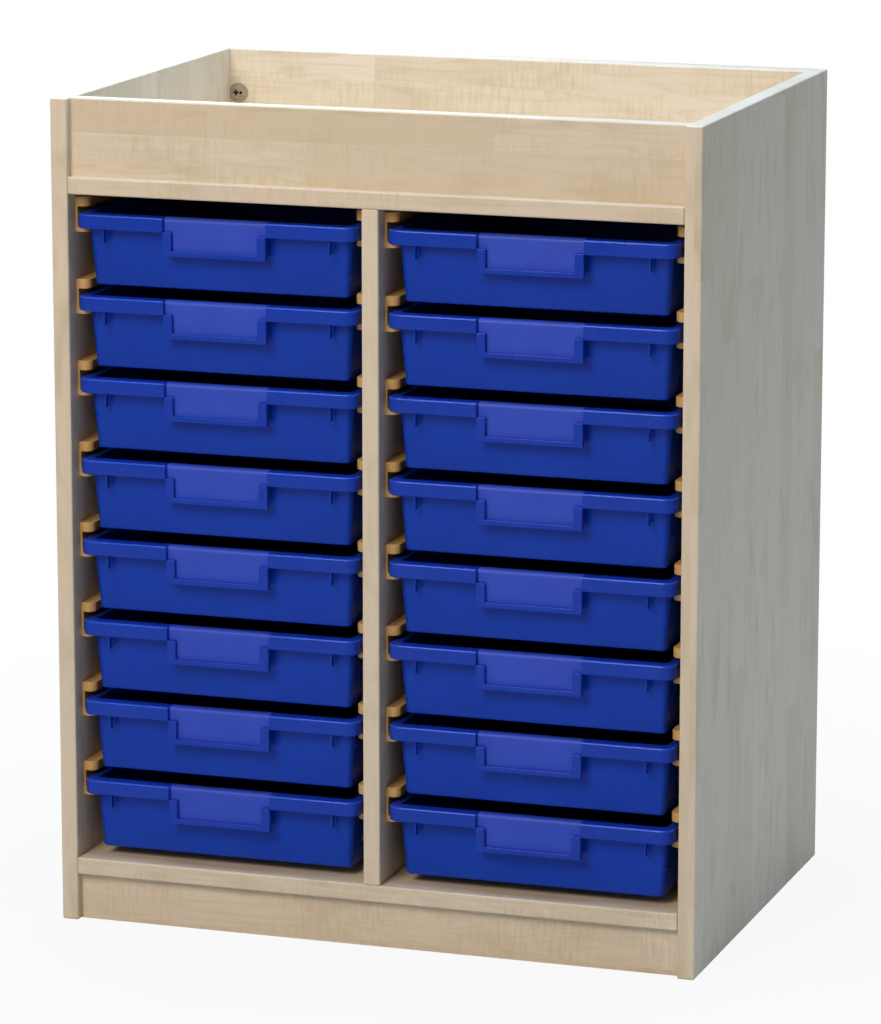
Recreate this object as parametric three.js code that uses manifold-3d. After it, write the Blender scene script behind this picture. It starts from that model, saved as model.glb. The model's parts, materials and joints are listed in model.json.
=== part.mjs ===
// Classroom tray storage unit: a two-bay cabinet of maple-effect board with a shallow open
// well on top and a column of pull-out trays in each bay.
// Millimetres, +Z up. The front faces -Y, and the origin is on the floor below the middle
// of the cabinet.

import * as THREE from 'three';
import { mergeVertices } from 'three/addons/utils/BufferGeometryUtils.js';
import Module from 'manifold-3d';

// Cabinet
const cabinetWidth = 690;
const cabinetDepth = 490;
const cabinetHeight = 868;
const boardThickness = 18;
const edgeRadius = 1.5;
const plinthHeight = 50;
const plinthSetback = 10;
const wellHeight = 80;
const frontRailSetback = 10;
const backPanelThickness = 6;
const backRebateWidth = 8;

// Trays
const rowsPerBay = 8;
const traySideClearance = 7;
const trayFrontInset = 1;
const trayRearClearance = 56;
const trayHeadGap = 20;
const trayFootGap = 10;
const trayRowGap = 10.3;
const trayWall = 2.5;
const sideOverhang = 8.3;
const frontOverhang = 14;
const rimSkirtHeight = 15;
const rimCornerRadius = 13;
const bodyCornerRadius = 8;
const bodyDraft = 5.5;

// Label plate in the middle of each tray's front
const plateWidth = 112;
const plateDrop = 24;
const plateDepth = 7;
const plateBorder = 9.6;
const plateFoot = 5.5;
const labelRecess = 5;
const labelSideMargin = 0.4;
const plateOverlap = 1;

// Tabs under the front rim
const tabThickness = 2.4;
const tabFromEnd = 29.4;
const tabSetback = 4;
const tabDepth = 7;
const tabDrop = 14.5;

// Runners
const runnerSetback = 20;
const runnerRearAllowance = 15;
const lipClearance = 1;
const runnerWeb = 2.5;
const runnerCornerRadius = 8;
const upperFlange = 10;
const lowerFlange = 6;
const slideGap = 0.3;
const liftGap = 5;
const stopThickness = 2.5;
const stopGap = 0.5;

// Round connectors let into the back rail
const connectorDiameter = 20;
const connectorDepth = 12.5;
const connectorFromEnd = 9.5;
const connectorAboveFloor = 31;
const connectorFit = 0.3;
const camDiameter = 11;
const camRecess = 0.8;

// Smoothness of rounded outlines
const edgeSteps = 2;
const cornerSteps = 4;
const connectorSteps = 24;
const cutMargin = 1;

// Heights and places that follow from the sizes above
const halfWidth = cabinetWidth / 2;
const innerHalf = halfWidth - boardThickness;
const front = -cabinetDepth / 2;
const rear = cabinetDepth / 2;
const boardRear = rear - backPanelThickness;
const baseTop = plinthHeight + boardThickness;
const wellFloorTop = cabinetHeight - wellHeight;
const bayCeiling = wellFloorTop - boardThickness;
const bayWidth = (cabinetWidth - 3 * boardThickness) / 2;
const bayCentre = (bayWidth + boardThickness) / 2;
const bayHeight = bayCeiling - baseTop;
const rowPitch = (bayHeight - trayHeadGap - trayFootGap + trayRowGap) / rowsPerBay;
const trayHeight = rowPitch - trayRowGap;
const trayWidth = bayWidth - 2 * traySideClearance;
const runnerReach = traySideClearance + sideOverhang - lipClearance;
const trayFront = front + trayFrontInset;
const trayLength = boardRear - trayRearClearance - trayFront;
const topTrayBottom = bayCeiling - trayHeadGap - trayHeight;

const wasm = await Module();
wasm.setup();

// A closed three.js geometry as a solid that can be joined and cut.
function solidOf(geometry) {
  geometry.deleteAttribute('normal');
  geometry.deleteAttribute('uv');
  const welded = mergeVertices(geometry);
  return new wasm.Manifold(new wasm.Mesh({
    numProp: 3,
    vertProperties: new Float32Array(welded.attributes.position.array),
    triVerts: new Uint32Array(welded.index.array),
  }));
}

// A solid back as a geometry for a mesh.
function geometryOf(solid) {
  const mesh = solid.getMesh();
  const geometry = new THREE.BufferGeometry();
  geometry.setAttribute('position', new THREE.BufferAttribute(mesh.vertProperties, 3));
  geometry.setIndex(new THREE.BufferAttribute(mesh.triVerts, 1));
  geometry.computeVertexNormals();
  return geometry;
}

function block([left, right], [near, far], [low, high]) {
  const geometry = new THREE.BoxGeometry(right - left, far - near, high - low);
  geometry.translate((left + right) / 2, (near + far) / 2, (low + high) / 2);
  return solidOf(geometry);
}

// A rectangle whose four corners, from low-left anticlockwise, have their own radii.
function rectangle([left, right], [low, high], [lowLeft, lowRight, highRight, highLeft]) {
  const shape = new THREE.Shape();
  const corners = [
    [left, low, lowLeft, 1, 1],
    [right, low, lowRight, -1, 1],
    [right, high, highRight, -1, -1],
    [left, high, highLeft, 1, -1],
  ];
  corners.forEach(([x, y, radius, towardsX, towardsY], index) => {
    if (radius > 0) {
      const start = Math.PI * (1 + index / 2);
      shape.absarc(x + towardsX * radius, y + towardsY * radius, radius, start, start + Math.PI / 2);
    } else if (index === 0) {
      shape.moveTo(x, y);
    } else {
      shape.lineTo(x, y);
    }
  });
  return shape;
}

function extrusion(shape, length, steps) {
  return new THREE.ExtrudeGeometry(shape, { depth: length, bevelEnabled: false, curveSegments: steps });
}

// An outline drawn in X and Y, raised along Z.
function prismAlongZ(shape, [low, high], steps) {
  return solidOf(extrusion(shape, high - low, steps).translate(0, 0, low));
}

// An outline drawn in Y and Z, carried along X.
function prismAlongX(shape, [left, right], steps) {
  const geometry = extrusion(shape, right - left, steps);
  return solidOf(geometry.rotateX(Math.PI / 2).rotateZ(Math.PI / 2).translate(left, 0, 0));
}

// An upright board whose two front edges are eased.
function sidePanel(side) {
  const across = side < 0 ? [-halfWidth, -innerHalf] : [innerHalf, halfWidth];
  const plan = rectangle(across, [front, rear], [edgeRadius, edgeRadius, 0, 0]);
  const rebate = block(
    side < 0 ? [-innerHalf - backRebateWidth, 0] : [0, innerHalf + backRebateWidth],
    [boardRear, rear + cutMargin],
    [plinthHeight, cabinetHeight + cutMargin],
  );
  return prismAlongZ(plan, [0, cabinetHeight], edgeSteps).subtract(rebate);
}

function centreDivider() {
  const across = [-boardThickness / 2, boardThickness / 2];
  const plan = rectangle(across, [front, boardRear], [edgeRadius, edgeRadius, 0, 0]);
  return prismAlongZ(plan, [baseTop, bayCeiling], edgeSteps);
}

// A level board between the side panels, with its front edges eased.
function shelf(low) {
  const section = rectangle([front, boardRear], [low, low + boardThickness], [edgeRadius, 0, 0, edgeRadius]);
  return prismAlongX(section, [-innerHalf, innerHalf], edgeSteps);
}

function plinth() {
  const near = front + plinthSetback;
  return block([-innerHalf, innerHalf], [near, near + boardThickness], [0, plinthHeight]);
}

// An upright board on the well floor, with its two top edges eased.
function wellRail(near) {
  const section = rectangle(
    [near, near + boardThickness],
    [wellFloorTop, cabinetHeight],
    [0, 0, edgeRadius, edgeRadius],
  );
  return prismAlongX(section, [-innerHalf, innerHalf], edgeSteps);
}

const backRailFront = boardRear - boardThickness;
const connectorHeight = wellFloorTop + connectorAboveFloor;

// A round bar along Y at a connector's centre.
function connectorBar(side, radius, [near, far]) {
  const geometry = new THREE.CylinderGeometry(radius, radius, far - near, connectorSteps);
  const across = side * (innerHalf - connectorFromEnd);
  return solidOf(geometry.translate(across, (near + far) / 2, connectorHeight));
}

function backRail() {
  const pocketRadius = connectorDiameter / 2 + connectorFit;
  const pocketReach = [backRailFront - cutMargin, backRailFront + connectorDepth];
  let rail = wellRail(backRailFront);
  for (const side of [-1, 1]) {
    rail = rail.subtract(connectorBar(side, pocketRadius, pocketReach));
  }
  return rail;
}

// The housing is cut flat where it meets the rail's end, and its cam lies in a round recess.
function railConnector(side) {
  const reach = [backRailFront, backRailFront + connectorDepth];
  const housing = connectorBar(side, connectorDiameter / 2, reach);
  const end = innerHalf - connectorFit;
  const trim = block(
    side < 0 ? [-end, 0] : [0, end],
    [reach[0] - cutMargin, reach[1] + cutMargin],
    [wellFloorTop, cabinetHeight],
  );
  const camReach = [backRailFront - cutMargin, backRailFront + camRecess];
  const cam = connectorBar(side, camDiameter / 2, camReach);
  return housing.intersect(trim).subtract(cam);
}

// Thin board that lies in the side panels' rebates.
function backPanel() {
  const reach = innerHalf + backRebateWidth;
  return block([-reach, reach], [boardRear, rear], [plinthHeight, cabinetHeight]);
}

// A round-cornered block that narrows by the draft on every side towards its foot.
function taperedBlock(half, [near, far], radius, [low, high], draft) {
  const plan = rectangle([-half, half], [near, far], [radius, radius, radius, radius]);
  const geometry = extrusion(plan, high - low, cornerSteps);
  const position = geometry.attributes.position;
  const middle = (near + far) / 2;
  for (let i = 0; i < position.count; i += 1) {
    if (position.getZ(i) === 0) {
      position.setX(i, position.getX(i) - Math.sign(position.getX(i)) * draft);
      position.setY(i, position.getY(i) - Math.sign(position.getY(i) - middle) * draft);
    }
  }
  return solidOf(geometry.translate(0, 0, low));
}

// One tray with its rim's front at y = 0 and its foot at z = 0.
function tray() {
  const rimHalf = trayWidth / 2;
  const bodyHalf = rimHalf - sideOverhang;
  const skirtLow = trayHeight - rimSkirtHeight;
  const rimPlan = rectangle([-rimHalf, rimHalf], [0, trayLength], Array(4).fill(rimCornerRadius));
  const hollowPlan = rectangle(
    [-rimHalf + trayWall, rimHalf - trayWall],
    [trayWall, trayLength - trayWall],
    Array(4).fill(rimCornerRadius - trayWall),
  );
  const rim = prismAlongZ(rimPlan, [skirtLow, trayHeight], cornerSteps)
    .subtract(prismAlongZ(hollowPlan, [skirtLow - cutMargin, trayHeight - trayWall], cornerSteps));
  const bodyReach = [frontOverhang, trayLength - sideOverhang];
  const body = taperedBlock(bodyHalf, bodyReach, bodyCornerRadius, [0, trayHeight], bodyDraft);
  const cavity = taperedBlock(
    bodyHalf - trayWall,
    [bodyReach[0] + trayWall, bodyReach[1] - trayWall],
    bodyCornerRadius - trayWall,
    [trayWall, trayHeight + cutMargin],
    bodyDraft,
  );

  // The rim's front is open over the label, which lies back between the plate's borders.
  const plateHalf = plateWidth / 2;
  const labelHalf = plateHalf - labelSideMargin;
  const plateLow = skirtLow - plateDrop;
  const notch = block([-labelHalf, labelHalf], [-cutMargin, labelRecess], [skirtLow, trayHeight + cutMargin]);
  const label = block([-labelHalf, labelHalf], [labelRecess, plateDepth], [plateLow, trayHeight]);
  const plate = block([-plateHalf, plateHalf], [0, plateDepth], [plateLow, skirtLow + plateOverlap])
    .subtract(block(
      [plateBorder - plateHalf, plateHalf - plateBorder],
      [-cutMargin, labelRecess],
      [plateLow + plateFoot, trayHeight],
    ));

  let whole = rim.add(body).subtract(cavity).subtract(notch).add(label).add(plate);
  for (const side of [-1, 1]) {
    const middle = side * (rimHalf - tabFromEnd);
    const across = [middle - tabThickness / 2, middle + tabThickness / 2];
    const reach = [tabSetback, tabSetback + tabDepth];
    whole = whole.add(block(across, reach, [skirtLow - tabDrop, trayHeight - trayWall / 2]));
  }
  return whole;
}

// One runner seen from the front, with its web against a board at x = 0 and its channel open
// towards +x for side 1 or -x for side -1. z = 0 is the height of the rim's lower edge.
function runner(side) {
  const low = -slideGap - lowerFlange;
  const seat = -slideGap;
  const roof = rimSkirtHeight + liftGap;
  const high = roof + upperFlange;
  const near = front + runnerSetback;
  const trayRear = trayFront + trayLength;
  const far = trayRear + runnerRearAllowance;
  const across = (from, to) => (side > 0 ? [from, to] : [-to, -from]);
  const corners = side > 0 ? [0, runnerCornerRadius, 0, 0] : [runnerCornerRadius, 0, 0, 0];
  const plan = rectangle(across(0, runnerReach), [near, far], corners);
  const stopFront = trayRear + stopGap;
  const channel = across(runnerWeb, runnerReach + cutMargin);
  return prismAlongZ(plan, [low, high], cornerSteps)
    .subtract(block(channel, [near - cutMargin, stopFront], [seat, roof]))
    .subtract(block(channel, [stopFront + stopThickness, far + cutMargin], [seat, roof]));
}

const maple = { color: 0xd8c3a2, roughness: 0.55, metalness: 0 };
const backMaple = { color: 0xd2b88f, roughness: 0.6, metalness: 0 };
const blue = { color: 0x2341a8, roughness: 0.38, metalness: 0 };
const buff = { color: 0xc09a63, roughness: 0.5, metalness: 0 };
const brown = { color: 0x8f7a60, roughness: 0.5, metalness: 0 };

const unit = new THREE.Group();

function place(name, geometry, finish, x = 0, y = 0, z = 0) {
  const mesh = new THREE.Mesh(geometry, new THREE.MeshStandardMaterial(finish));
  mesh.name = name;
  mesh.position.set(x, y, z);
  unit.add(mesh);
}

place('left_side_panel', geometryOf(sidePanel(-1)), maple);
place('right_side_panel', geometryOf(sidePanel(1)), maple);
place('centre_divider', geometryOf(centreDivider()), maple);
place('base_shelf', geometryOf(shelf(plinthHeight)), maple);
place('well_floor', geometryOf(shelf(bayCeiling)), maple);
place('front_rail', geometryOf(wellRail(front + frontRailSetback)), maple);
place('back_rail', geometryOf(backRail()), maple);
place('back_panel', geometryOf(backPanel()), backMaple);
place('plinth', geometryOf(plinth()), maple);
place('left_rail_connector', geometryOf(railConnector(-1)), brown);
place('right_rail_connector', geometryOf(railConnector(1)), brown);

const trayGeometry = geometryOf(tray());
const runnerGeometry = { left: geometryOf(runner(1)), right: geometryOf(runner(-1)) };

for (const [bay, centre] of [['left', -bayCentre], ['right', bayCentre]]) {
  for (let row = 1; row <= rowsPerBay; row += 1) {
    const foot = topTrayBottom - (row - 1) * rowPitch;
    const seat = foot + trayHeight - rimSkirtHeight;
    place(`${bay}_tray_${row}`, trayGeometry, blue, centre, trayFront, foot);
    place(`${bay}_tray_${row}_left_runner`, runnerGeometry.left, buff, centre - bayWidth / 2, 0, seat);
    place(`${bay}_tray_${row}_right_runner`, runnerGeometry.right, buff, centre + bayWidth / 2, 0, seat);
  }
}

export default unit;
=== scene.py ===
# %% [markdown]
# # A classroom tray storage unit
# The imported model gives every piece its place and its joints. This lesson gives each piece its
# real surface: eased board edges, moulded trays, plastic runners and the small metal fittings.
# Everything is in metres, the front faces -Y and the floor is z = 0.

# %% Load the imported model
import json

import bpy
import numpy as np
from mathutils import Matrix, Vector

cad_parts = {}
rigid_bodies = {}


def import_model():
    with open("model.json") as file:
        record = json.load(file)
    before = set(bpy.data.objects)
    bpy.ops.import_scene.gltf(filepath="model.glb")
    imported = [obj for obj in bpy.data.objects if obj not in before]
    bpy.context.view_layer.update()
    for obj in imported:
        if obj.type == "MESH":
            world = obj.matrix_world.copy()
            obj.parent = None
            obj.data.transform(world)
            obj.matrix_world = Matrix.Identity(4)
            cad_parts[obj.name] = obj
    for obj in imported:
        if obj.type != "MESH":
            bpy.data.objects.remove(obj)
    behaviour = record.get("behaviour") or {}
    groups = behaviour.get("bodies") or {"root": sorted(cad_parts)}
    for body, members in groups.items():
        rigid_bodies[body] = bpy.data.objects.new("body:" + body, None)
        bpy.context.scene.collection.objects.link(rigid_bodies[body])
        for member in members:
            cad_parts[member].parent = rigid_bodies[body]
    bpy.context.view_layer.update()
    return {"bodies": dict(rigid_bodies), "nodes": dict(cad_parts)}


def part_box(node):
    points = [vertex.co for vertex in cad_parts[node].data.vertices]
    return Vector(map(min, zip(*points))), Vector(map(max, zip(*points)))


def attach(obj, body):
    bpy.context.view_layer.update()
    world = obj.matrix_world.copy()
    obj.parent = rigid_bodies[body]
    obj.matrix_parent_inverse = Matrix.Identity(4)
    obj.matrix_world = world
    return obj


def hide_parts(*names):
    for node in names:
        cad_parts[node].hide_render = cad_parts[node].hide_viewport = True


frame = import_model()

MM = 0.001
nodes = frame["nodes"]
trays = sorted(body for body in frame["bodies"] if body != "cabinet")
print("trays that slide:", len(trays), "nodes:", len(nodes))

# %% [markdown]
# ## Colours and nodes
# A colour picked from a picture is an sRGB value, but Blender's shaders add up light, so they need
# it linear. One function does that change. Another adds a shader node, sets its options and plugs
# its sockets, which keeps every material short enough to read.


# %% Helpers for materials
def colour(code):
    """A linear RGBA colour from an sRGB hex code, by the sRGB curve: a straight foot, then a power."""
    value = np.array([int(code[i:i + 2], 16) for i in (1, 3, 5)]) / 255
    linear = np.where(value <= 0.04045, value / 12.92, ((value + 0.055) / 1.055) ** 2.4)
    return (*linear.tolist(), 1.0)


def add(tree, kind, settings=None, **sockets):
    """Adds one shader node. A socket's value may be a constant or another node's output."""
    node = tree.nodes.new("ShaderNode" + kind)
    for name, value in (settings or {}).items():
        setattr(node, name, value)
    for name, value in sockets.items():
        key = int(name[1:]) if name[1:].isdigit() else name.replace("_", " ")
        socket = node.inputs[key]
        if isinstance(value, bpy.types.NodeSocket):
            tree.links.new(value, socket)
        else:
            socket.default_value = value
    return node


def new_material(name):
    """An empty node material with its output, ready for a surface."""
    material = bpy.data.materials.new(name)
    material.use_nodes = True
    material.node_tree.nodes.clear()
    return material, material.node_tree


def finish_material(tree, shader):
    """Plugs a finished shader into the material's output."""
    add(tree, "OutputMaterial", Surface=shader)


print("middle grey in linear light:", round(colour("#808080")[0], 3))

# %% [markdown]
# ## Maple-effect melamine
# The boards are chipboard faced with printed paper under melamine resin. The print shows narrow
# staves of pale maple side by side. The eye sees a creamy ground with long soft lines, growth rings
# drawn out into flames, a fine ripple across the grain that comes and goes, a few short brown flecks,
# and a small change of tone from stave to stave. A photograph of wood would be quicker, but noise at
# real sizes never repeats and needs no file. Each stave gets a random number, which shifts its noise
# so that the figure breaks at the joint, and the rings are contour lines of a stretched noise.

# %% Maple melamine, with its grain along one axis
STAVE_WIDTH = 46 * MM
STAVE_LENGTH = 640 * MM
LINE_SIZE = (190 * MM, 3.4 * MM)        # length along the grain, width across it
FIGURE_SIZE = (330 * MM, 34 * MM)
RIPPLE_SIZE = (3.4 * MM, 30 * MM)
PATCH_SIZE = (120 * MM, 45 * MM)
FLECK_SIZE = (85 * MM, 28 * MM)
RINGS_IN_FIGURE = 11
STAVE_JUMP = 60.0           # how far apart two staves' noises can lie
PATCH_LIMITS = (0.36, 0.60)     # a noise between such limits gives a share from none to all
RIPPLE_LIMITS = (0.42, 0.70)
RING_LIMITS = (0.50, 1.0)
LINE_LIMITS = (0.48, 0.74)
FLECK_LIMITS = (0.52, 0.78)
BOARD_ROUGHNESS = (0.42, 0.56)
BOARD_SHINE = 0.3
PORE_DEPTH = 0.1 * MM
PORE_STRENGTH = 0.05


def maple_melamine(name, axis, tones, ripple_share, stave_share, fleck_share, line_share):
    """Staves of pale maple. The place along the grain and the place across it, which is the sum of
    the other two coordinates, are cut into staves by rounding down, and every noise is stretched
    along or across. The tones are the ground, the deeper grain and the flecks."""
    material, tree = new_material(name)
    pale, deep, fleck_tone = (colour(tone) for tone in tones)
    parts = add(tree, "SeparateXYZ", Vector=add(tree, "TexCoord").outputs["Object"]).outputs

    def compute(kind, first, second):
        return add(tree, "Math", {"operation": kind}, _0=first, _1=second).outputs[0]

    along = parts[axis]
    across = compute("ADD", *[parts[other] for other in "XYZ" if other != axis])
    row = compute("FLOOR", compute("DIVIDE", across, STAVE_WIDTH), 0.0)
    start = add(tree, "TexWhiteNoise", {"noise_dimensions": "1D"}, W=row).outputs[0]
    joint = compute("FLOOR", compute("ADD", compute("DIVIDE", along, STAVE_LENGTH), start), 0.0)
    pair = add(tree, "CombineXYZ", X=row, Y=joint).outputs[0]
    stave = add(tree, "TexWhiteNoise", {"noise_dimensions": "2D"}, Vector=pair).outputs[0]

    def grain(size, detail, distortion=0.0):
        length, width = size
        spot = add(tree, "CombineXYZ", X=compute("DIVIDE", along, length),
                   Y=compute("DIVIDE", across, width), Z=compute("MULTIPLY", stave, STAVE_JUMP))
        noise = add(tree, "TexNoise", Vector=spot.outputs[0], Scale=1.0, Detail=detail,
                    Distortion=distortion)
        return noise.outputs[0]

    def share(value, limits, most):
        low, high = limits
        return add(tree, "MapRange", Value=value, From_Min=low, From_Max=high, To_Max=most).outputs[0]

    def blend(amount, first, second):
        return add(tree, "Mix", {"data_type": "RGBA"}, _0=amount, _6=first, _7=second).outputs[2]

    line = grain(LINE_SIZE, 3.0, 0.5)
    figure = grain(FIGURE_SIZE, 1.0, 0.4)
    rings = compute("PINGPONG", compute("MULTIPLY", figure, 2.0 * RINGS_IN_FIGURE), 1.0)
    patch = share(grain(PATCH_SIZE, 1.0), PATCH_LIMITS, ripple_share)
    ripple = compute("MULTIPLY", share(grain(RIPPLE_SIZE, 1.5, 0.3), RIPPLE_LIMITS, 1.0), patch)
    tone = blend(share(stave, (0.0, 1.0), stave_share), pale, deep)
    tone = blend(share(rings, RING_LIMITS, line_share), tone, deep)
    tone = blend(share(line, LINE_LIMITS, line_share), tone, deep)
    tone = blend(ripple, tone, deep)
    tone = blend(share(grain(FLECK_SIZE, 1.5, 0.8), FLECK_LIMITS, fleck_share), tone, fleck_tone)
    gloss = add(tree, "MapRange", Value=line, To_Min=BOARD_ROUGHNESS[0], To_Max=BOARD_ROUGHNESS[1])
    skin = add(tree, "Bump", Height=line, Strength=PORE_STRENGTH, Distance=PORE_DEPTH)
    shader = add(tree, "BsdfPrincipled", Base_Color=tone, Roughness=gloss.outputs[0],
                 Normal=skin.outputs[0], Specular_IOR_Level=BOARD_SHINE)
    finish_material(tree, shader.outputs[0])
    return material


UPRIGHT_TONES = ("#E2D1B4", "#CCB48D", "#B5A27C")
LEVEL_TONES = ("#E6D6BB", "#D0B993", "#B09C74")
FOIL_TONES = ("#D9C6A4", "#C9B08A", "#A98B62")
# A creamy upright board, calm, with faint staves and a few soft flecks
maple_upright = maple_melamine("Maple melamine, upright grain", "Z", UPRIGHT_TONES, ripple_share=0.08,
                               stave_share=0.4, fleck_share=0.4, line_share=0.2)
# A livelier level board, with ripples across the grain and clear growth lines
maple_level = maple_melamine("Maple melamine, level grain", "X", LEVEL_TONES, ripple_share=0.6,
                             stave_share=0.7, fleck_share=0.3, line_share=0.32)
# A thinner and yellower print on the back
maple_foil = maple_melamine("Maple foil on hardboard", "Z", FOIL_TONES, ripple_share=0.3,
                            stave_share=0.5, fleck_share=0.2, line_share=0.25)
print("board finishes:", maple_upright.name, "/", maple_level.name, "/", maple_foil.name)

# %% [markdown]
# ## Moulded plastics and metals
# Polypropylene comes out of a polished mould with a soft gloss. Its pigment is even, but the skin is
# never quite flat: it sinks a little over ribs. The rim's skirt and the label's border are a greyer blue,
# a painted sheen, and the rim's top edge is a lighter blue with more shine, a painted highlight on a
# glossier edge. The label field was etched in the mould, so it is matt and looks lighter. The runners are
# a buff plastic with a satin skin, the fittings are brown nylon and steel, and the connectors' near-black
# cross and dot are painted shade.
# One function with a few settings makes them all, because they differ only in pigment and in skin.


# %% One way to make a moulded plastic
DRIFT_LIMITS = (0.35, 0.75)     # the slow noise turns to the worn tone between these values
DULL_LIMITS = (0.3, 0.7)
DULL_SPREAD = (-0.05, 0.07)     # how far the roughness drifts to either side
SKIN_DEPTH = 0.1 * MM


def moulded_plastic(name, main, worn, roughness, shine, ripple, grit, bump):
    """A pigmented plastic whose tone and roughness drift slowly over the ripple, with a fine skin of the
    grit's size. The shine is how strongly its surface mirrors, where 0.5 is a clean polished plastic."""
    material, tree = new_material(name)
    place = add(tree, "TexCoord").outputs["Object"]
    drift = add(tree, "TexNoise", Vector=place, Scale=1 / ripple, Detail=3.0).outputs[0]
    skin = add(tree, "TexNoise", Vector=place, Scale=1 / grit, Detail=2.0).outputs[0]
    share = add(tree, "MapRange", Value=drift, From_Min=DRIFT_LIMITS[0], From_Max=DRIFT_LIMITS[1])
    tone = add(tree, "Mix", {"data_type": "RGBA"}, _0=share.outputs[0], _6=colour(main), _7=colour(worn))
    dull = add(tree, "MapRange", Value=drift, From_Min=DULL_LIMITS[0], From_Max=DULL_LIMITS[1],
               To_Min=roughness + DULL_SPREAD[0], To_Max=roughness + DULL_SPREAD[1])
    relief = add(tree, "Bump", Height=skin, Strength=bump, Distance=SKIN_DEPTH)
    shader = add(tree, "BsdfPrincipled", Base_Color=tone.outputs[2], Roughness=dull.outputs[0],
                 Normal=relief.outputs[0], Specular_IOR_Level=shine)
    finish_material(tree, shader.outputs[0])
    return material


# A deep even blue that mirrors the lamps softly
tray_blue = moulded_plastic("Blue polypropylene, moulded", "#0838A4", "#0C3CAA",
                            roughness=0.24, shine=0.21, ripple=60 * MM, grit=1.2 * MM, bump=0.015)
# The same blue, a little greyer on the skirt and the label's border: a painted sheen
painted_sheen_blue = moulded_plastic("Blue polypropylene, painted sheen", "#15389E", "#193CA4",
                           roughness=0.26, shine=0.22, ripple=60 * MM, grit=1.2 * MM, bump=0.015)
# A lighter blue with more shine along the rim's top edge: a painted highlight on a glossier edge
painted_highlight_blue = moulded_plastic("Blue polypropylene, painted highlight", "#1848BC", "#1C4CC2",
                            roughness=0.24, shine=0.4, ripple=60 * MM, grit=1.2 * MM, bump=0.01)
# A flat field with a chalky blue and no mirror
label_blue = moulded_plastic("Blue polypropylene, etched matt", "#3049B2", "#364FB8",
                             roughness=0.55, shine=0.25, ripple=40 * MM, grit=0.9 * MM, bump=0.15)
# The same field where its top edge is rubbed
field_blue = moulded_plastic("Blue polypropylene, etched and rubbed", "#3049B2", "#364FB8",
                             roughness=0.46, shine=0.33, ripple=40 * MM, grit=0.9 * MM, bump=0.1)
# Warm buff with a satin sheen
runner_buff = moulded_plastic("Buff plastic, satin moulding", "#D8AC6A", "#CB9E5C",
                              roughness=0.45, shine=0.25, ripple=30 * MM, grit=1.0 * MM, bump=0.1)
# Greyish brown, slightly waxy
nylon_brown = moulded_plastic("Brown nylon, moulded", "#AC9A7E", "#9C896B",
                              roughness=0.5, shine=0.25, ripple=8 * MM, grit=0.8 * MM, bump=0.15)


CLOUD_SIZE = 2 * MM
CLOUD_SPREAD = (-0.08, 0.12)


def fitting_metal(name, tone, roughness):
    """Steel with a slightly clouded skin. It is a metal, so its colour is its reflection, and its
    roughness drifts about its middle value over the cloud's size."""
    material, tree = new_material(name)
    place = add(tree, "TexCoord").outputs["Object"]
    cloud = add(tree, "TexNoise", Vector=place, Scale=1 / CLOUD_SIZE, Detail=3.0).outputs[0]
    dull = add(tree, "MapRange", Value=cloud, To_Min=roughness + CLOUD_SPREAD[0],
               To_Max=roughness + CLOUD_SPREAD[1])
    shader = add(tree, "BsdfPrincipled", Base_Color=colour(tone), Metallic=1.0,
                 Roughness=dull.outputs[0])
    finish_material(tree, shader.outputs[0])
    return material


# Near black, dull: painted shade for the connectors' cross slot and small hole
painted_shade_black = fitting_metal("Painted shade, near black", "#24221F", 0.5)
# Pale grey with a soft glint
zinc_screw = fitting_metal("Steel, zinc plated", "#B9B7AE", 0.32)
plastics = (tray_blue, painted_sheen_blue, painted_highlight_blue, label_blue, field_blue, runner_buff, nylon_brown)
print("plastics and metals:", [item.name for item in (*plastics, painted_shade_black, zinc_screw)])

# %% [markdown]
# ## Surfaces from grids
# A mesh is a list of points and a list of faces that name them. When the points come from a grid,
# the faces are worked out by counting: each cell joins a point to the next one round and the next
# row up. So a whole piece is two numpy arrays, with no loop over its points.


# %% Grids to meshes
def grid_quads(rows, columns):
    """Faces of a grid whose columns close on themselves: cell (r, c) joins columns c and c + 1 of
    rows r and r + 1."""
    row = np.arange(rows - 1)[:, None] * columns
    column = np.arange(columns)[None, :]
    beside = (column + 1) % columns
    cell = [row + column, row + beside, row + columns + beside, row + columns + column]
    return np.stack(cell, -1).reshape(-1, 4)


def closed_grid(points, material=0, flip=False):
    """A tube of grid points (rows, columns, 3) with its two open ends closed by one flat face each. The
    material is one number, or one for each cell of the grid, and the ends take the first."""
    rows, columns = points.shape[:2]
    quads = grid_quads(rows, columns)
    first = np.arange(columns)[::-1]
    last = np.arange(columns) + (rows - 1) * columns
    if flip:
        quads, first, last = quads[:, ::-1], first[::-1], last[::-1]
    cells = np.broadcast_to(material, (rows - 1, columns)).ravel().tolist()
    return {"points": points.reshape(-1, 3), "quads": quads, "caps": [first, last],
            "materials": cells + cells[:1] * 2}


def put(name, surfaces, materials, body, stands_for=()):
    """Joins surfaces into one object at the origin, gives it its finish and lets it ride on a body."""
    starts = np.cumsum([0] + [len(s["points"]) for s in surfaces])
    faces = []
    numbers = []
    for surface, start in zip(surfaces, starts):
        own = (surface["quads"] + start).tolist() + [(cap + start).tolist() for cap in surface["caps"]]
        faces += own
        numbers += surface["materials"]
    mesh = bpy.data.meshes.new(name)
    mesh.from_pydata(np.concatenate([s["points"] for s in surfaces]).tolist(), [], faces)
    mesh.polygons.foreach_set("material_index", numbers)
    mesh.polygons.foreach_set("use_smooth", np.ones(len(faces), bool))
    for material in materials:
        mesh.materials.append(material)
    piece = bpy.data.objects.new(name, mesh)
    bpy.context.scene.collection.objects.link(piece)
    piece.modifiers.new("Flat faces stay flat", "WEIGHTED_NORMAL").weight = 100
    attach(piece, body)
    for node in stands_for:
        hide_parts(node)
    return piece


print("a grid of 3 rows and 4 columns has", len(grid_quads(3, 4)), "cells")


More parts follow.
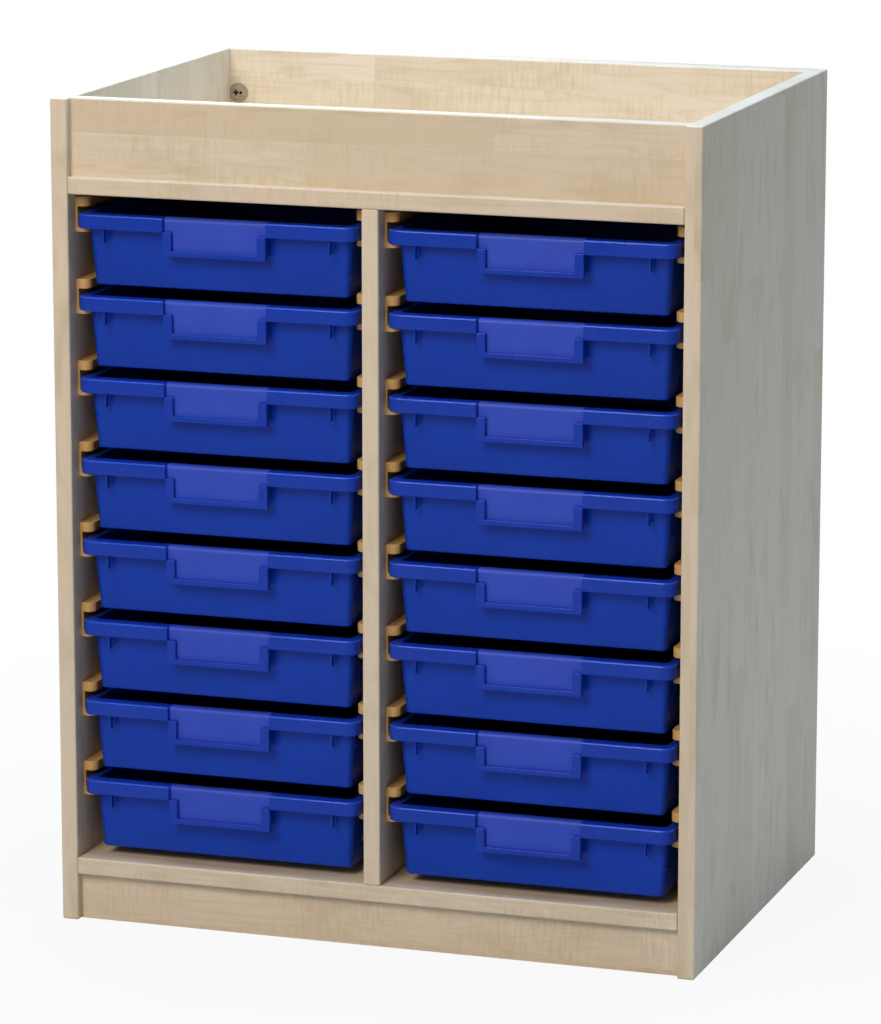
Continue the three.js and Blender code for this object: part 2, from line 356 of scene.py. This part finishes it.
# %% [markdown]
# ## Boards with eased edges
# No real board has a knife edge: the edging strip is rounded after it is glued on, and that small
# round catches the light as a bright line. An outline with a small arc at every corner is carried
# along the board, and near each end it draws in along a quarter circle, so the end edges are round
# as well. A Bevel modifier could do it too, but here the radius stays a plain number.

# %% An outline with round corners, carried along an axis
CORNER_EASE = 1.25      # a corner's radius as a share of the end's, so that no two points meet


def eased_outline(corners, radius, steps):
    """Points and outward directions of a polygon, anticlockwise, with an arc in each corner.
    Each arc starts radius * tan(turn / 2) before its corner, and turns as much as the polygon does."""
    corners = np.asarray(corners, float)
    ahead = np.roll(corners, -1, 0) - corners
    ahead /= np.linalg.norm(ahead, axis=1, keepdims=True)
    behind = np.roll(ahead, 1, 0)
    turn = np.arctan2(behind[:, 0] * ahead[:, 1] - behind[:, 1] * ahead[:, 0], (behind * ahead).sum(1))
    side = np.stack([behind[:, 1], -behind[:, 0]], -1)
    reach = (np.sign(turn) * radius)[:, None]
    start = corners - behind * (radius * np.tan(np.abs(turn) / 2))[:, None]
    centre = (start - side * reach)[:, None]
    angle = turn[:, None] * np.linspace(0, 1, steps + 1)
    out = np.stack([side[:, :1] * np.cos(angle) - side[:, 1:] * np.sin(angle),
                    side[:, :1] * np.sin(angle) + side[:, 1:] * np.cos(angle)], -1)
    return (centre + out * reach[:, None]).reshape(-1, 2), out.reshape(-1, 2)


def prism(corners, reach, axis, radius, steps=4, material=0):
    """The outline carried from reach[0] to reach[1]. At angle t of each end it is drawn in by
    radius * (1 - sin t) and stands radius * (1 - cos t) from the end. For axis X the outline is drawn
    in Y and Z, for Y in X and Z, and for Z in X and Y."""
    outline, out = eased_outline(corners, CORNER_EASE * radius, steps)
    turn = np.linspace(0, np.pi / 2, steps + 1)
    draw = radius * (1 - np.sin(turn))
    rise = radius * (1 - np.cos(turn))
    draw = np.concatenate([draw, draw[::-1]])
    along = np.concatenate([reach[0] + rise, reach[1] - rise[::-1]])
    flat = outline[None] - out[None] * draw[:, None, None]
    a, b = flat[..., 0], flat[..., 1]
    c = np.broadcast_to(along[:, None], a.shape)
    order = {"X": (c, a, b), "Y": (a, c, b), "Z": (a, b, c)}[axis]
    return closed_grid(np.stack(order, -1), material, flip=axis == "Y")


def rectangle(low, high):
    """The four corners of an upright rectangle, anticlockwise."""
    return [(low[0], low[1]), (high[0], low[1]), (high[0], high[1]), (low[0], high[1])]


sample = prism(rectangle((0, 0), (1, 1)), (0, 1), "Z", 0.1)
print("a prism on a square has", len(sample["quads"]), "faces and", len(sample["caps"]), "ends")


# %% [markdown]
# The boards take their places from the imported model. A side panel's outline is seen from above,
# with the rebate that holds the back panel. The other boards are plain rectangles, drawn across
# the board's length so that the grain runs the long way.

# %% The boards
EDGE = 1.6 * MM
CUT_EDGE = 0.5 * MM
BACK_SINK = 0.6 * MM        # how far the thin back panel lies inside its rebate


def board(node, axis, radius, material, sink=0.0):
    """A plain board in the place of a node, with its outline drawn across the axis. A rail sinks into the
    boards below and beside it by its edge's radius, because only its free edges are rounded."""
    low, high = (np.array(corner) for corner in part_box(node))
    low[[0, 2]] -= sink
    high[0] += sink
    if node == "back_panel":
        high[1] -= BACK_SINK
    pick = {"X": (1, 2), "Y": (0, 2), "Z": (0, 1)}[axis]
    number = "XYZ".index(axis)
    outline = rectangle(low[list(pick)], high[list(pick)])
    shape = prism(outline, (low[number], high[number]), axis, radius)
    return put(node + "_board", [shape], [material], "cabinet", [node])


def side_panel(node, side):
    """An upright board whose rear inner corner is cut back for the back panel."""
    low, high = (np.array(corner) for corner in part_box(node))
    back_low, back_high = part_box("back_panel")
    inner = low[0] if side > 0 else high[0]
    outer = high[0] if side > 0 else low[0]
    seat = back_high[0] if side > 0 else back_low[0]
    outline = [(outer, low[1]), (outer, high[1]), (seat, high[1]),
               (seat, back_low[1]), (inner, back_low[1]), (inner, low[1])]
    if side < 0:
        outline = outline[::-1]
    shape = prism(outline, (low[2], high[2]), "Z", EDGE)
    return put(node + "_board", [shape], [maple_upright], "cabinet", [node])


side_panel("left_side_panel", -1)
side_panel("right_side_panel", 1)
board("centre_divider", "Z", EDGE, maple_upright)
board("base_shelf", "X", EDGE, maple_level)
board("well_floor", "X", EDGE, maple_level)
board("front_rail", "X", EDGE, maple_level, EDGE)
board("back_rail", "X", EDGE, maple_level, EDGE)
board("plinth", "X", CUT_EDGE, maple_level)
board("back_panel", "Z", CUT_EDGE, maple_foil)

# %% [markdown]
# ## The trays
# Each tray is one thin moulding: a floor, walls that lean out so that trays nest, and a rim that
# turns over into a skirt. Its section is the same all round, so the section is carried round a
# rectangle with round corners. Every section point has its own inset from the rim's outer face, and
# the path shrinks by that inset. In the middle of the front the skirt steps back to make room for
# the label.

# %% The tray's section
TRAY_WALL = 2.5 * MM
SIDE_OVERHANG = 8.3 * MM
FRONT_OVERHANG = 14 * MM
SKIRT = 15 * MM
DRAFT = 5.5 * MM
RIM_CORNER = 13 * MM
BODY_CORNER = 8 * MM
FLOOR_FILLET = 2 * MM
FOOT_ROUND = 1.6 * MM
RIM_ROUND = 1.6 * MM
FLOOR_EDGE = 3 * FLOOR_FILLET       # how far in from the wall the flat floor starts


def arc(centre, radius, start, end, steps=5):
    """Points on a circle from one angle to another, in degrees, as (inset, height) pairs."""
    angle = np.radians(np.linspace(start, end, steps + 1))
    return np.stack([centre[0] + radius * np.cos(angle), centre[1] + radius * np.sin(angle)], -1)


def tray_section(height):
    """The moulding's outline as (inset, height) pairs: up the inside, over the rim, down the skirt's face,
    up behind the skirt, down the outside and under the floor."""
    inner = SIDE_OVERHANG + TRAY_WALL
    foot = SIDE_OVERHANG + DRAFT
    floor_turn = (inner + DRAFT + FLOOR_FILLET, TRAY_WALL + FLOOR_FILLET)
    foot_turn = (foot + FOOT_ROUND, FOOT_ROUND)
    ceiling = height - TRAY_WALL
    return np.concatenate([
        [(inner + DRAFT + FLOOR_EDGE, TRAY_WALL)],
        arc(floor_turn, FLOOR_FILLET, 270, 180),
        arc((inner - RIM_ROUND, height - RIM_ROUND), RIM_ROUND, 0, 90),
        arc((RIM_ROUND, height - RIM_ROUND), RIM_ROUND, 90, 180),
        arc((TRAY_WALL / 2, height - SKIRT + TRAY_WALL / 2), TRAY_WALL / 2, 180, 360),
        arc((TRAY_WALL + RIM_ROUND / 2, ceiling - RIM_ROUND / 2), RIM_ROUND / 2, 180, 90, 2),
        arc((SIDE_OVERHANG - RIM_ROUND / 2, ceiling - RIM_ROUND / 2), RIM_ROUND / 2, 90, 0, 2),
        arc(foot_turn, FOOT_ROUND, 180, 270),
        [(foot + FLOOR_EDGE, 0)],
    ])


print("points in the section of a tray 75 mm high:", len(tray_section(75 * MM)))

# %% [markdown]
# The label field sits in a U-shaped border that hangs below the rim. The border is a prism with a
# U outline. The field is a T: its wide bar is the recessed stretch of the skirt itself, which only
# needs another finish and a rounder top edge, and its stem is a plate between the border's legs.
# Two thin tabs hang under the rim on either side.

# %% One tray, with its label plate and tabs
PLATE_HALF = 56 * MM
PLATE_BORDER = 9.6 * MM
PLATE_FOOT = 5.5 * MM
PLATE_DROP = 24 * MM
PLATE_DEPTH = 7 * MM
PLATE_OVERLAP = 1 * MM
LABEL_RECESS = 5 * MM
LABEL_SIDE = 0.4 * MM
LABEL_TUCK = 1 * MM
LABEL_PROUD = 0.02 * MM
TAB_HALF = 1.2 * MM
TAB_FROM_END = 29.4 * MM
TAB_SETBACK = 4 * MM
TAB_DEPTH = 7 * MM
TAB_DROP = 14.5 * MM
TAB_ROUND = 0.5 * MM
STEP_WIDTH = 1.2 * MM
STEP_POINTS = 7
RECESS_FADE = 0.6           # the share of the overhang where the recess starts to fade on the rim's top
BEND_POINTS = 8
PLATE_ROUND = 0.9 * MM
FIELD_ROUND = 4.0 * MM      # the field's top edge is rounder than the rim's
HAIR = 0.02 * MM            # the slack in finding a section's points by their place
TRAY_FINISHES = [tray_blue, label_blue, painted_highlight_blue, painted_sheen_blue, field_blue]
MOULDED, ETCHED, PAINTED_HIGHLIGHT, PAINTED_SHEEN, FIELD_EDGE = range(5)     # each finish's number in that list


def tray_shell(low, high):
    """The section carried round the rim's rectangle. A section point of inset d lies on a path drawn in
    by d, with corners that turn from the rim's radius to the body's. On the front the inset grows to the
    deeper overhang. Between the label's sides the skirt is pushed back by the recess, and the rim's outer
    edge grows to the field's radius in both directions."""
    section = tray_section(high[2] - low[2])
    inset, rise = section[:, 0, None], section[:, 1, None]
    inner = SIDE_OVERHANG + TRAY_WALL
    floor_start = inner + DRAFT
    corner = np.interp(inset,
                       [0, TRAY_WALL, SIDE_OVERHANG, inner, floor_start, floor_start + FLOOR_EDGE],
                       [RIM_CORNER, RIM_CORNER - TRAY_WALL, BODY_CORNER, BODY_CORNER - TRAY_WALL,
                        BODY_CORNER - TRAY_WALL, BODY_CORNER / 3])
    deep = np.interp(inset, [TRAY_WALL, SIDE_OVERHANG], [0, FRONT_OVERHANG - SIDE_OVERHANG])
    left, right = low[0] + inset, high[0] - inset
    near, far = low[1] + inset + deep, high[1] - inset
    middle = (low[0] + high[0]) / 2

    label_half = PLATE_HALF - LABEL_SIDE
    step = np.linspace(-STEP_WIDTH, STEP_WIDTH, STEP_POINTS) / 2
    beyond = [2 * label_half]
    across = np.concatenate([np.negative(beyond), step - label_half, [0], step + label_half, beyond])
    share = np.clip(0.5 + (label_half - np.abs(across)) / STEP_WIDTH, 0, 1)
    hold = np.interp(inset, [RECESS_FADE * SIDE_OVERHANG, SIDE_OVERHANG - TRAY_WALL], [1, 0])
    recess = LABEL_RECESS * share * share * (3 - 2 * share) * hold
    height = high[2] - low[2]
    rounded = (inset < RIM_ROUND + HAIR) & (rise > height - RIM_ROUND - HAIR)
    grow = (FIELD_ROUND / RIM_ROUND - 1) * share * rounded
    front = np.stack(np.broadcast_arrays(middle + across, near + recess + inset * grow), -1)

    quarter = np.linspace(0, np.pi / 2, BEND_POINTS)
    corners = [(right - corner, near + corner, -np.pi / 2), (right - corner, far - corner, 0),
               (left + corner, far - corner, np.pi / 2), (left + corner, near + corner, np.pi)]
    bends = [np.stack([x + corner * np.cos(quarter + turn), y + corner * np.sin(quarter + turn)], -1)
             for x, y, turn in corners]
    path = np.concatenate([front] + bends, 1)
    lift = np.broadcast_to(low[2] + rise, path.shape[:2]).copy()
    lift[:, :len(across)] -= (height - rise) * grow
    finish = np.full((len(section) - 1, path.shape[1]), MOULDED)
    on_skirt = (rise > height - SKIRT + TRAY_WALL / 2) & (inset < RIM_ROUND)
    on_edge = (rise > height - RIM_ROUND) & (inset < RIM_ROUND)
    on_top = (rise > height - RIM_ROUND / 2) & (inset < inner)
    outer = (on_skirt | on_top)[:-1, 0]
    label = slice(STEP_POINTS, STEP_POINTS + 2)
    # The skirt and the rim's top take a greyer blue: a painted sheen
    finish[outer] = PAINTED_SHEEN
    # The rim's top edge takes a lighter blue with more shine: a painted highlight on a glossier edge
    finish[on_edge[:-1, 0]] = PAINTED_HIGHLIGHT
    finish[outer, label] = ETCHED
    finish[on_edge[:-1, 0], label] = FIELD_EDGE
    return closed_grid(np.dstack([path, lift]), finish, flip=True)


def label_plate(low, high):
    """The U border in the tray's front plane, and behind it the lower part of the field, whose edges are
    tucked under the border and lie just before the skirt's etched part."""
    middle = (low[0] + high[0]) / 2
    skirt_low = high[2] - SKIRT
    foot = skirt_low - PLATE_DROP
    leg = PLATE_HALF - PLATE_BORDER
    top = skirt_low + PLATE_OVERLAP
    border = [(-PLATE_HALF, foot), (PLATE_HALF, foot), (PLATE_HALF, top), (leg, top),
              (leg, foot + PLATE_FOOT), (-leg, foot + PLATE_FOOT), (-leg, top), (-PLATE_HALF, top)]
    edge = leg + LABEL_TUCK
    field = rectangle((-edge, foot + PLATE_FOOT - LABEL_TUCK), (edge, skirt_low + TRAY_WALL))
    shift = np.array([middle, 0])
    face = low[1] + LABEL_RECESS - LABEL_PROUD
    return [
        # The border takes the greyer blue, a painted sheen
        prism(border + shift, (low[1], low[1] + PLATE_DEPTH), "Y", PLATE_ROUND, material=PAINTED_SHEEN),
        prism(field + shift, (face, low[1] + PLATE_DEPTH), "Y", LABEL_TUCK / 2, material=ETCHED),
    ]


def tray_tabs(low, high):
    """Two thin upright tabs that hang from the underside of the front rim."""
    reach = (low[1] + TAB_SETBACK, low[1] + TAB_SETBACK + TAB_DEPTH)
    height = (high[2] - SKIRT - TAB_DROP, high[2] - TRAY_WALL / 2)
    centres = (low[0] + TAB_FROM_END, high[0] - TAB_FROM_END)
    return [prism(rectangle((x - TAB_HALF, height[0]), (x + TAB_HALF, height[1])), reach, "Y", TAB_ROUND)
            for x in centres]


for tray in trays:
    low, high = (np.array(corner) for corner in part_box(tray))
    surfaces = [tray_shell(low, high), *label_plate(low, high), *tray_tabs(low, high)]
    piece = put(tray + "_moulding", surfaces, TRAY_FINISHES, tray, [tray])
print("one tray has", len(piece.data.polygons), "faces")

# %% [markdown]
# ## The runners
# A runner is a plastic channel: a web screwed to the board, a thick lip above and a thinner one
# below that the tray's rim slides on. Its inner front corners are rounded, so that a tray finds its
# way in. The channel's outline is carried from front to back, and near the front its reach grows
# along a quarter circle.

# %% The runners
RUNNER_WEB = 2.5 * MM
UPPER_FLANGE = 10 * MM
LOWER_FLANGE = 6 * MM
RUNNER_CORNER = 8 * MM
RUNNER_EDGE = 0.7 * MM
STOP_FROM_REAR = 14.5 * MM
STOP_THICKNESS = 2.5 * MM
CORNER_POINTS = 9


def runner_channel(low, high, side):
    """The C outline carried along Y. At distance s from the front the reach is its full width less
    R - sqrt(R * R - (R - s) ** 2), so the lips' corners are round in plan."""
    reach = high[0] - low[0]
    roof, seat = high[2] - UPPER_FLANGE, low[2] + LOWER_FLANGE
    outline = [(0, low[2]), (reach, low[2]), (reach, seat), (RUNNER_WEB, seat),
               (RUNNER_WEB, roof), (reach, roof), (reach, high[2]), (0, high[2])]
    points, out = eased_outline(outline, RUNNER_EDGE, 3)
    turn = np.linspace(0, np.pi / 2, CORNER_POINTS)
    bend = RUNNER_CORNER * (1 - np.cos(turn))
    along = np.concatenate([low[1] + bend, [high[1] - RUNNER_EDGE, high[1]]])
    width = np.concatenate([reach - RUNNER_CORNER * (1 - np.sin(turn)), [reach, reach]])
    draw = np.concatenate([[RUNNER_EDGE], np.zeros(CORNER_POINTS), [RUNNER_EDGE]])[:, None, None]
    flat = points[None] - out[None] * draw
    across = flat[..., 0]
    beyond = np.clip(across - RUNNER_WEB, 0, None) * ((width - RUNNER_WEB) / (reach - RUNNER_WEB))[:, None]
    across = np.minimum(across, RUNNER_WEB) + beyond
    base = low[0] if side > 0 else high[0]
    depth = np.broadcast_to(along[:, None], across.shape)
    grid = np.stack([base + side * across, depth, flat[..., 1]], -1)
    return closed_grid(grid, flip=side > 0)


def runner_stop(low, high, side):
    """The small wall across the channel that the tray's rear rim meets."""
    near = high[1] - STOP_FROM_REAR
    base = low[0] if side > 0 else high[0]
    ends = sorted((base + side * RUNNER_WEB / 2, base + side * (high[0] - low[0] - RUNNER_EDGE)))
    corners = rectangle((ends[0], low[2] + LOWER_FLANGE / 2), (ends[1], high[2] - UPPER_FLANGE / 2))
    return prism(corners, (near, near + STOP_THICKNESS), "Y", RUNNER_EDGE / 2, 2)


for node in sorted(name for name in nodes if name.endswith("_runner")):
    low, high = (np.array(corner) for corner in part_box(node))
    side = 1 if node.endswith("left_runner") else -1
    surfaces = [runner_channel(low, high, side), runner_stop(low, high, side)]
    piece = put(node + "_moulding", surfaces, [runner_buff], "cabinet", [node])
print("one runner has", len(piece.data.polygons), "faces")

# %% [markdown]
# ## Screws and connectors
# Each runner is held by screws through its web, the back panel by screws all round, and the boards by
# round connectors whose cam draws in a bolt. All are turned shapes: rings of points round an axis, with
# a height for each ring. A cross is sunk where a point lies near one of two bars, so no cutting is
# needed.


# %% Turned fittings
def turned(centre, axis, rings, spokes, cross=None, material=0):
    """Rings of (radius, height) round an axis that points out of the face. Inside the cross, points closer
    than its half width to either bar sink by its depth."""
    angle = np.linspace(0, 2 * np.pi, spokes, endpoint=False)
    rings = np.asarray(rings, float)
    u = rings[:, :1] * np.cos(angle)
    v = rings[:, :1] * np.sin(angle)
    w = np.broadcast_to(rings[:, 1:], u.shape).copy()
    if cross:
        arm, half, depth = cross
        near_bar = (np.minimum(np.abs(u), np.abs(v)) < half) & (np.hypot(u, v) < arm)
        w = w - depth * near_bar
    out = np.array(axis, float)
    first = np.roll(np.abs(out), 1)
    second = np.cross(out, first)
    points = np.array(centre) + u[..., None] * first + v[..., None] * second + w[..., None] * out
    return closed_grid(points, material, flip=True)


SCREW_SPOKES = 16
SCREW_RINGS = np.array([(0.3, 0.5), (0.9, 0.5), (1.7, 0.45), (2.7, 0.3), (3.6, 0.05), (3.6, -0.3)]) * MM
SCREW_CROSS = (1.8 * MM, 0.45 * MM, 0.4 * MM)      # arm, half width and depth
SCREW_PLACES = (0.12, 0.5, 0.88)      # shares of the runner's length


def runner_screws():
    """One screw head at each place along every runner's web."""
    heads = []
    for node in sorted(name for name in nodes if name.endswith("_runner")):
        low, high = (np.array(corner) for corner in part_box(node))
        side = 1 if node.endswith("left_runner") else -1
        face = (low[0] if side > 0 else high[0]) + side * RUNNER_WEB
        middle = (low[2] + LOWER_FLANGE + high[2] - UPPER_FLANGE) / 2
        places = low[1] + np.array(SCREW_PLACES) * (high[1] - low[1])
        heads += [turned((face, place, middle), (side, 0, 0), SCREW_RINGS, SCREW_SPOKES, SCREW_CROSS)
                  for place in places]
    return heads


BACK_SCREW_RINGS = np.array([(0.3, 0.4), (0.9, 0.4), (1.7, 0.35), (2.6, 0.25),
                             (3.2, 0.05), (3.2, -0.3)]) * MM
BACK_SCREW_CROSS = (1.8 * MM, 0.45 * MM, 0.3 * MM)
BACK_SCREW_INSET = 5 * MM
BACK_SCREW_END = 30 * MM
SCREWS_UP_EDGE = 6
SCREWS_UP_DIVIDER = 4


def back_screws():
    """Screw heads through the back panel: up both edges, up the divider and along the level boards."""
    low, high = (np.array(corner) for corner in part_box("back_panel"))
    boxes = [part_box(node) for node in ("base_shelf", "well_floor", "back_rail")]
    level = [(below[2] + above[2]) / 2 for below, above in boxes]
    edges = (low[0] + BACK_SCREW_INSET, high[0] - BACK_SCREW_INSET)
    rows = np.linspace(low[2] + BACK_SCREW_END, high[2] - BACK_SCREW_END, SCREWS_UP_EDGE)
    places = [(x, z) for x in edges for z in rows]
    places += [(x, z) for x in (low[0] / 2, high[0] / 2) for z in level]
    places += [(0.0, z) for z in np.linspace(level[0], level[1], SCREWS_UP_DIVIDER)]
    face = high[1] - BACK_SINK
    return [turned((x, face, z), (0, 1, 0), BACK_SCREW_RINGS, SCREW_SPOKES, BACK_SCREW_CROSS)
            for x, z in places]


screws = put("runner_screws", runner_screws(), [zinc_screw], "cabinet")
rear_screws = put("back_panel_screws", back_screws(), [zinc_screw], "cabinet")
print("screw faces:", len(screws.data.polygons), "and", len(rear_screws.data.polygons))

# %% [markdown]
# The round connector is a brown nylon housing pressed into the board, with a thin flange that stands
# proud. Its cam lies off its middle, towards the joint, so the rings of points start round the cam, and
# their centre moves to the housing's middle as they widen. The shade in the cam's cross slot and in a
# small hole opposite is painted: a near-black cross and dot sit on the housing's face.

# %% The round connectors
CONNECTOR_FROM_END = 9.5 * MM
CONNECTOR_LIFT = 31 * MM
CAM_SHIFT = 3.0 * MM
CROSS_ARM = 3.3 * MM
CROSS_HALF = 1.0 * MM
CROSS_FACE = (0.1 * MM, 0.3 * MM)      # from the cam's floor up to the cross's face
CROSS_ROUND = 0.05 * MM
HOUSING_SPOKES = 48
HOUSING_RINGS = np.array([(0.5, 0.15), (2.2, 0.15), (3.5, 0.15), (3.8, 0.7), (4.2, 0.9),
                          (6.4, 0.9), (8.6, 0.85), (8.9, 0.2), (9.4, 0.2), (9.7, 0.85),
                          (10.6, 0.8), (11.1, 0.4), (11.2, 0.0), (10.0, 0.0), (10.0, -11.0)]) * MM
HOUSING_SHIFT = np.array([1, 1, 1, 1, 0.95, 0.55, 0.1, 0, 0, 0, 0, 0, 0, 0, 0])
DOT_RINGS = np.array([(0.3, 0.95), (1.5, 0.95), (1.7, 0.9), (1.7, 0.5)]) * MM


def cross_outline():
    """The twelve corners of an upright plus sign, anticlockwise."""
    arm, half = CROSS_ARM, CROSS_HALF
    return np.array([(-half, -arm), (half, -arm), (half, -half), (arm, -half), (arm, half), (half, half),
                     (half, arm), (-half, arm), (-half, half), (-arm, half), (-arm, -half), (-half, -half)])


def connector(name, centre, facing, towards, ends, stands_for=()):
    """A housing let into a rail's face that looks along Y, with its cam shifted towards the joint. A
    ring's own shift slides its centre, and the rail's ends cut the housing off flat."""
    centre = np.array(centre)
    shift = np.array([towards * CAM_SHIFT, 0, 0])
    housing = turned(centre, (0, facing, 0), HOUSING_RINGS, HOUSING_SPOKES)
    points = housing["points"] + shift * np.repeat(HOUSING_SHIFT, HOUSING_SPOKES)[:, None]
    points[:, 0] = np.clip(points[:, 0], *ends)
    housing["points"] = points
    face = sorted(centre[1] + facing * np.array(CROSS_FACE))
    # The cross and the dot take the near-black finish: painted shade in the cam's slot and in a small hole
    cross = prism(cross_outline() + (centre + shift)[[0, 2]], face, "Y", CROSS_ROUND, 2, material=1)
    dot = turned(centre - shift, (0, facing, 0), DOT_RINGS, SCREW_SPOKES, material=1)
    finishes = [nylon_brown, painted_shade_black]
    return put(name, [housing, cross, dot], finishes, "cabinet", stands_for)


rail_low, rail_high = (np.array(corner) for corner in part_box("back_rail"))
ends = (rail_low[0], rail_high[0])
height = rail_low[2] + CONNECTOR_LIFT
back_face = rail_low[1]
front_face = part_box("front_rail")[1][1]
made = []
for name, side, end in (("left", -1, ends[0]), ("right", 1, ends[1])):
    across = end - side * CONNECTOR_FROM_END
    made.append(connector(name + "_back_connector", (across, back_face, height), -1, side, ends,
                          [name + "_rail_connector"]))
    made.append(connector(name + "_front_connector", (across, front_face, height), 1, side, ends))
print("connectors made:", len(made))

# %% [markdown]
# ## The ground and the world
# The photograph is a catalogue picture on a white ground. A white plane under strong lamps would do,
# but it would throw its light back on the cabinet. So the floor is grey paper for the light, and rays
# straight from the camera see it nearly white, with a little of the contact shadow.

# %% The stage
FLOOR_SIZE = 30.0
SHADOW_REACH = (0.45, 1.3)      # metres from the middle, where the ground turns to plain white
NEAR_WHITE = 0.9
WHITE = (1.0, 1.0, 1.0, 1.0)
SKY_STRENGTH = 0.07


def white_ground():
    """Pale paper. For camera rays it is mostly plain white: nine tenths near the cabinet, where the
    rest keeps its shadow, and all of it further out."""
    material, tree = new_material("White paper ground")
    seen = add(tree, "LightPath").outputs["Is Camera Ray"]
    place = add(tree, "TexCoord").outputs["Object"]
    distance = add(tree, "VectorMath", {"operation": "LENGTH"}, _0=place).outputs["Value"]
    plain = add(tree, "MapRange", Value=distance, From_Min=SHADOW_REACH[0], From_Max=SHADOW_REACH[1],
                To_Min=NEAR_WHITE, To_Max=1.0)
    share = add(tree, "Math", {"operation": "MULTIPLY"}, _0=seen, _1=plain.outputs[0])
    paper = add(tree, "BsdfDiffuse", Color=colour("#C8C6C2"))
    glow = add(tree, "Emission", Color=WHITE, Strength=1.0)
    mixed = add(tree, "MixShader", _0=share.outputs[0], _1=paper.outputs[0], _2=glow.outputs[0])
    finish_material(tree, mixed.outputs[0])
    return material


def ground():
    """One flat square at floor height."""
    half = FLOOR_SIZE / 2
    mesh = bpy.data.meshes.new("ground")
    corners = [(x, y, 0) for x, y in rectangle((-half, -half), (half, half))]
    mesh.from_pydata(corners, [], [(0, 1, 2, 3)])
    mesh.materials.append(white_ground())
    piece = bpy.data.objects.new("ground", mesh)
    bpy.context.scene.collection.objects.link(piece)


def studio_world():
    """A dim cool sky for the light, and plain white where the camera looks past the floor."""
    world = bpy.data.worlds.new("Studio")
    world.use_nodes = True
    tree = world.node_tree
    tree.nodes.clear()
    seen = add(tree, "LightPath").outputs["Is Camera Ray"]
    sky = add(tree, "Background", Color=colour("#CFE0FF"), Strength=SKY_STRENGTH)
    plain = add(tree, "Background", Color=WHITE, Strength=1.0)
    both = add(tree, "MixShader", _0=seen, _1=sky.outputs[0], _2=plain.outputs[0])
    add(tree, "OutputWorld", Surface=both.outputs[0])
    return world


ground()
scene = bpy.context.scene
scene.view_settings.view_transform = "Standard"
scene.world = studio_world()
print("ground:", FLOOR_SIZE, "m square, world:", scene.world.name)

# %% [markdown]
# ## The lamps
# The real light is soft: a key from the front and above, so that every rim throws a short shadow on
# its tray, a cool light from overhead into the well, a cool fill that keeps the right side legible, and
# a warm one behind, so that the back keeps its colour. Sun lamps would give hard shadows, so these are
# large area lamps a few metres away.

# %% The lamps
MIDDLE = np.array([0.0, 0.0, 0.45])


def lamp(name, place, size, power, tone):
    """A square area lamp that faces the middle of the cabinet: it tips by the angle between straight down
    and its aim, and turns about the upright by the aim's direction on the floor."""
    light = bpy.data.lights.new(name, "AREA")
    light.size = size
    light.energy = power
    light.color = colour(tone)[:3]
    item = bpy.data.objects.new(name, light)
    item.location = place
    aim = MIDDLE - np.array(place)
    item.rotation_euler = (np.arctan2(np.hypot(aim[0], aim[1]), -aim[2]), 0, np.arctan2(-aim[0], aim[1]))
    scene.collection.objects.link(item)


# Name, place in metres, size in metres, power in watts and tone
lamp("front_key", (-0.7, -3.6, 2.9), 1.8, 108, "#FFF4EC")
lamp("front_fill", (-0.2, -5.2, 1.6), 1.5, 14, "#FFF4EA")
lamp("overhead", (-0.1, 0.0, 3.2), 2.2, 124, "#B0D0FF")
lamp("right_fill", (5.2, 1.2, 3.0), 3.5, 122, "#CEE3FF")
lamp("back_fill", (-2.6, 4.2, 1.5), 2.5, 130, "#FFF4EA")

# %% [markdown]
# ## The camera
# The photograph was taken with a long lens, from the right and a little above. Its place, its turn and
# its lens were worked out from the cabinet's straight edges, so the render can be laid over it.

# %% The camera
CAMERA_PLACE = (1.661, -4.947, 1.517)
CAMERA_TURN = 18.64
CAMERA_TILT = 11.96
CAMERA_LENS = 176.9     # millimetres
FRAME_HEIGHT = 36       # millimetres, the longer side of the picture

camera_data = bpy.data.cameras.new("camera")
camera_data.lens = CAMERA_LENS
camera_data.sensor_width = FRAME_HEIGHT
camera = bpy.data.objects.new("camera", camera_data)
camera.location = CAMERA_PLACE
camera.rotation_euler = (np.radians(90 - CAMERA_TILT), 0, np.radians(CAMERA_TURN))
scene.collection.objects.link(camera)
scene.camera = camera
print("camera at", CAMERA_PLACE, "with a lens of", CAMERA_LENS, "mm")
